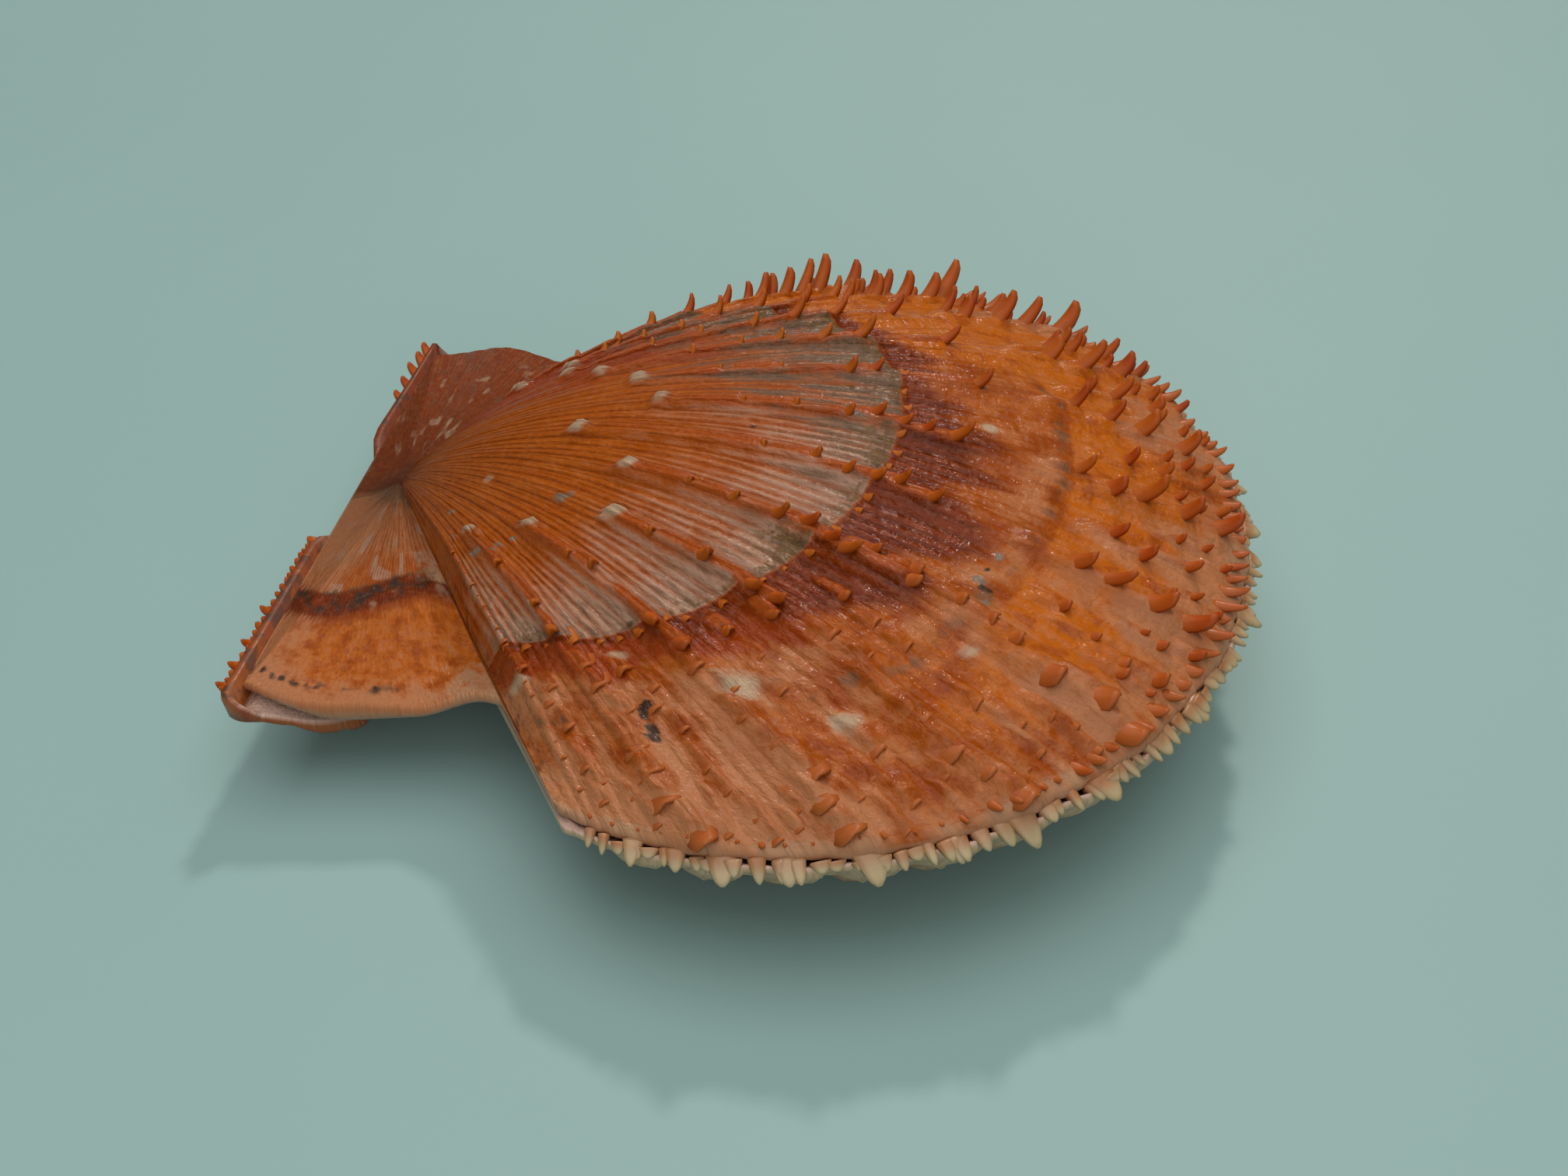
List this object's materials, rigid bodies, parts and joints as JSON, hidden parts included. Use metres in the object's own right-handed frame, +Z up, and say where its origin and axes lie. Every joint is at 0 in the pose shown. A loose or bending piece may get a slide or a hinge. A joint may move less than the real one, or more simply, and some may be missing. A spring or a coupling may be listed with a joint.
{
  "type": "scallop shell",
  "caption": "Closed pair of spiny scallop valves, lying flat, with radial ribs, two unequal ears and a thin hinge ligament.",
  "frame": {"origin": "bottom centre of the box round the shell, on the surface that it lies on", "axes": "+Z up, out of the left valve; +Y to the hinge; -Y to the lower margin of the disc; -X to the large front ear"},
  "size_m": [0.0832, 0.0862, 0.0258],
  "materials": {
    "left_valve": "semi-gloss ribbed shell, orange mottled with maroon, cream and pink",
    "right_valve": "satin ribbed shell, cream and tan banded with orange brown",
    "ligament": "dark dry ligament"
  },
  "bodies": {
    "root": {"left_valve": "left_valve", "right_valve": "right_valve", "ligament": "ligament"}
  },
  "joints": []
}
